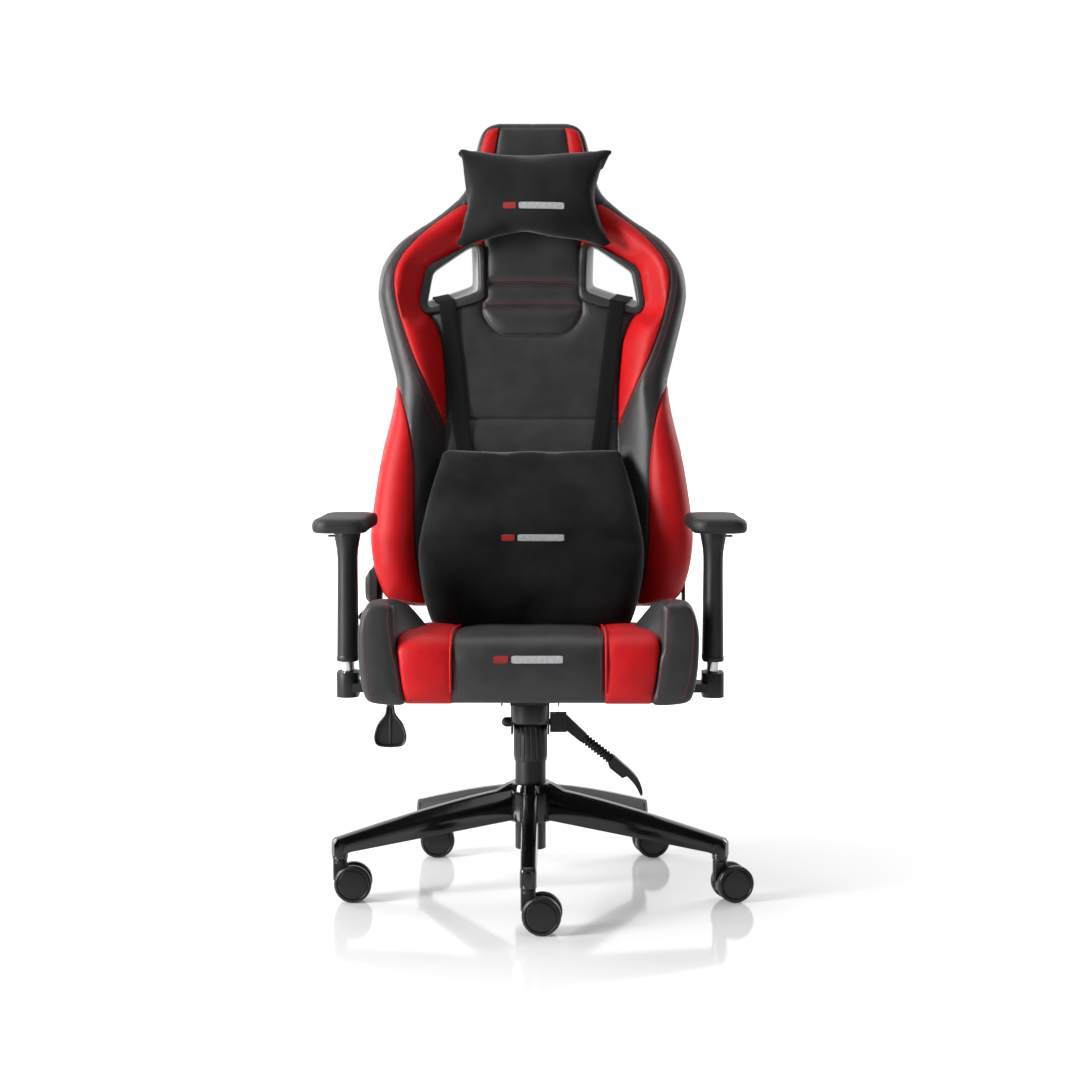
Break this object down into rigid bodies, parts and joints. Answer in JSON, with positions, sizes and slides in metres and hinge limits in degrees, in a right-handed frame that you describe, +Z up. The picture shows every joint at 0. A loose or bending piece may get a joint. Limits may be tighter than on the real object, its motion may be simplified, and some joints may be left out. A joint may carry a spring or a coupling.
{
  "type": "gaming chair",
  "caption": "High-backed racing-style office chair with side bolsters, belt slots, head and lumbar pillows, adjustable armrests, and a gas-lift column on a five-star caster base.",
  "frame": {"origin": "on the floor, under the gas column's axis", "axes": "+Z up, the sitter faces -Y, +X is on the right seen from the front"},
  "size_m": [0.7013, 0.7445, 1.2895],
  "materials": {
    "pu_black": "fine-grained charcoal-black PU leather, low sheen",
    "pu_red": "fine-grained saturated red PU leather, low sheen",
    "velvet": "black short-pile velvet",
    "webbing": "black woven elastic webbing",
    "thread_red": "red stitching and embroidery thread",
    "thread_silver": "silver-grey embroidery thread",
    "base_black": "glossy black",
    "caster_black": "satin black nylon",
    "arm_black": "satin black moulded plastic",
    "pad_black": "soft-touch black polyurethane skin",
    "bezel_grey": "dark grey textured plastic",
    "cover_grey": "dark grey textured plastic",
    "steel_black": "satin black powder coat",
    "steel_bright": "bright chromed steel",
    "steel_zinc": "zinc-plated steel",
    "bushing_white": "off-white acetal",
    "plywood": "plain birch plywood"
  },
  "bodies": {
    "base": {"base_star": "base_black", "column_tube": "steel_black", "tube_bushing": "bushing_white", "thrust_bearing": "steel_zinc", "caster_stems": "steel_zinc"},
    "rod": {"piston_rod": "steel_bright"},
    "carriage": {"gas_cylinder": "steel_black", "column_cover": "arm_black", "tilt_housing": "steel_black", "tilt_axle": "steel_zinc", "lever_block": "steel_black", "tension_spring": "steel_zinc"},
    "rocker": {"valve_rocker": "steel_zinc"},
    "height_lever": {"lever_arm": "steel_black", "lever_flex": "pad_black", "lever_handle": "arm_black"},
    "tilt_lock": {"lock_rod": "steel_black", "lock_paddle": "arm_black"},
    "knob": {"tension_knob": "arm_black"},
    "seat": {"seat_plate": "steel_black", "seat_board": "plywood", "seat_cushion": "pu_black", "seat_bolster_left": "pu_black", "seat_bolster_right": "pu_black", "seat_bolts": "steel_zinc", "arm_brackets": "steel_black", "arm_tubes": "steel_bright", "recliner_brackets": "steel_black", "recliner_pins": "steel_zinc"},
    "backrest": {"back_frame": "steel_black", "back_cushion": "pu_black", "back_bolster_left": "pu_red", "back_bolster_right": "pu_red", "belt_bezel_left": "bezel_grey", "belt_bezel_right": "bezel_grey", "back_brackets": "steel_black", "recliner_cover": "cover_grey", "head_pillow": "velvet", "head_strap": "webbing", "lumbar_pillow": "velvet", "lumbar_straps": "webbing"},
    "recline_handle": {"recline_lever": "steel_black"},
    "arm_left": {"arm_sleeve_left": "arm_black"},
    "button_left": {"arm_button_left": "arm_black"},
    "swivel_left": {"arm_swivel_left": "arm_black"},
    "pad_left": {"arm_pad_left": "pad_black"},
    "arm_right": {"arm_sleeve_right": "arm_black"},
    "button_right": {"arm_button_right": "arm_black"},
    "swivel_right": {"arm_swivel_right": "arm_black"},
    "pad_right": {"arm_pad_right": "pad_black"},
    "caster_1": {"caster_hood_1": "caster_black"},
    "wheels_1": {"caster_wheels_1": "caster_black"},
    "caster_2": {"caster_hood_2": "caster_black"},
    "wheels_2": {"caster_wheels_2": "caster_black"},
    "caster_3": {"caster_hood_3": "caster_black"},
    "wheels_3": {"caster_wheels_3": "caster_black"},
    "caster_4": {"caster_hood_4": "caster_black"},
    "wheels_4": {"caster_wheels_4": "caster_black"},
    "caster_5": {"caster_hood_5": "caster_black"},
    "wheels_5": {"caster_wheels_5": "caster_black"}
  },
  "joints": [
    {"name": "seat_swivel", "type": "hinge", "parent": "base", "child": "rod", "pos_m": [0, 0, 0.07], "axis": [0, 0, 1], "continuous": true},
    {"name": "seat_lift", "type": "slide", "parent": "rod", "child": "carriage", "axis": [0, 0, 1], "range_m": [0, 0.08]},
    {"name": "seat_tilt", "type": "hinge", "parent": "carriage", "child": "seat", "pos_m": [0, -0.03, 0.318], "axis": [-1, 0, 0], "range_deg": [0, 12], "stiffness_Nm_per_rad": 200, "springref_deg": -17.19},
    {"name": "back_recline", "type": "hinge", "parent": "seat", "child": "backrest", "pos_m": [0, 0.205, 0.425], "axis": [-1, 0, 0], "range_deg": [0, 60]},
    {"name": "recline_release", "type": "hinge", "parent": "seat", "child": "recline_handle", "pos_m": [-0.2738, 0.205, 0.425], "axis": [-1, 0, 0], "range_deg": [0, 25], "stiffness_Nm_per_rad": 1.5, "springref_deg": -17.19},
    {"name": "height_release", "type": "hinge", "parent": "carriage", "child": "height_lever", "pos_m": [0.05, -0.036, 0.277], "axis": [0, -1, 0], "range_deg": [0, 12], "stiffness_Nm_per_rad": 1, "springref_deg": -20.05},
    {"name": "valve_press", "type": "hinge", "parent": "carriage", "child": "rocker", "pos_m": [0.022, 0, 0.323], "axis": [0, -1, 0], "range_deg": [0, 4.5]},
    {"name": "tilt_lock_turn", "type": "hinge", "parent": "carriage", "child": "tilt_lock", "pos_m": [-0.225, -0.07, 0.325], "axis": [-1, 0, 0], "range_deg": [0, 20]},
    {"name": "tension_turn", "type": "hinge", "parent": "carriage", "child": "knob", "pos_m": [0, -0.088, 0.29], "axis": [0, 0, -1], "range_deg": [-360, 360]},
    {"name": "arm_height_left", "type": "slide", "parent": "seat", "child": "arm_left", "axis": [0, 0, 1], "range_m": [-0.008, 0.06]},
    {"name": "arm_button_press_left", "type": "hinge", "parent": "arm_left", "child": "button_left", "pos_m": [-0.3055, -0.03, 0.5825], "axis": [0, 1, 0], "range_deg": [0, 8], "stiffness_Nm_per_rad": 0.003, "springref_deg": -11.46},
    {"name": "pad_turn_left", "type": "hinge", "parent": "arm_left", "child": "swivel_left", "pos_m": [-0.296, -0.03, 0.594], "axis": [0, 0, 1], "range_deg": [-20, 20]},
    {"name": "pad_slide_left", "type": "slide", "parent": "swivel_left", "child": "pad_left", "axis": [0, 1, 0], "range_m": [-0.03, 0.03]},
    {"name": "arm_height_right", "type": "slide", "parent": "seat", "child": "arm_right", "axis": [0, 0, 1], "range_m": [-0.008, 0.06]},
    {"name": "arm_button_press_right", "type": "hinge", "parent": "arm_right", "child": "button_right", "pos_m": [0.3055, -0.03, 0.5825], "axis": [0, -1, 0], "range_deg": [0, 8], "stiffness_Nm_per_rad": 0.003, "springref_deg": -11.46},
    {"name": "pad_turn_right", "type": "hinge", "parent": "arm_right", "child": "swivel_right", "pos_m": [0.296, -0.03, 0.594], "axis": [0, 0, 1], "range_deg": [-20, 20]},
    {"name": "pad_slide_right", "type": "slide", "parent": "swivel_right", "child": "pad_right", "axis": [0, 1, 0], "range_m": [-0.03, 0.03]},
    {"name": "caster_swivel_1", "type": "hinge", "parent": "base", "child": "caster_1", "pos_m": [0, -0.32, 0.066], "axis": [0, 0, 1], "continuous": true},
    {"name": "wheel_roll_1", "type": "hinge", "parent": "caster_1", "child": "wheels_1", "pos_m": [0.02097, -0.3211, 0.03], "axis": [0.0523, 0.9986, 0], "continuous": true},
    {"name": "caster_swivel_2", "type": "hinge", "parent": "base", "child": "caster_2", "pos_m": [0.30434, -0.09889, 0.066], "axis": [0, 0, 1], "continuous": true},
    {"name": "wheel_roll_2", "type": "hinge", "parent": "caster_2", "child": "wheels_2", "pos_m": [0.32471, -0.09381, 0.03], "axis": [-0.2419, 0.9703, 0], "continuous": true},
    {"name": "caster_swivel_3", "type": "hinge", "parent": "base", "child": "caster_3", "pos_m": [0.18809, 0.25889, 0.066], "axis": [0, 0, 1], "continuous": true},
    {"name": "wheel_roll_3", "type": "hinge", "parent": "caster_3", "child": "wheels_3", "pos_m": [0.20877, 0.26253, 0.03], "axis": [-0.1736, 0.9848, 0], "continuous": true},
    {"name": "caster_swivel_4", "type": "hinge", "parent": "base", "child": "caster_4", "pos_m": [-0.18809, 0.25889, 0.066], "axis": [0, 0, 1], "continuous": true},
    {"name": "wheel_roll_4", "type": "hinge", "parent": "caster_4", "child": "wheels_4", "pos_m": [-0.16714, 0.26035, 0.03], "axis": [-0.0698, 0.9976, 0], "continuous": true},
    {"name": "caster_swivel_5", "type": "hinge", "parent": "base", "child": "caster_5", "pos_m": [-0.30434, -0.09889, 0.066], "axis": [0, 0, 1], "continuous": true},
    {"name": "wheel_roll_5", "type": "hinge", "parent": "caster_5", "child": "wheels_5", "pos_m": [-0.28335, -0.09815, 0.03], "axis": [-0.0349, 0.9994, 0], "continuous": true}
  ],
  "couplings": [
    {"joint": "valve_press", "follows": "height_release", "ratio": 0.35}
  ]
}
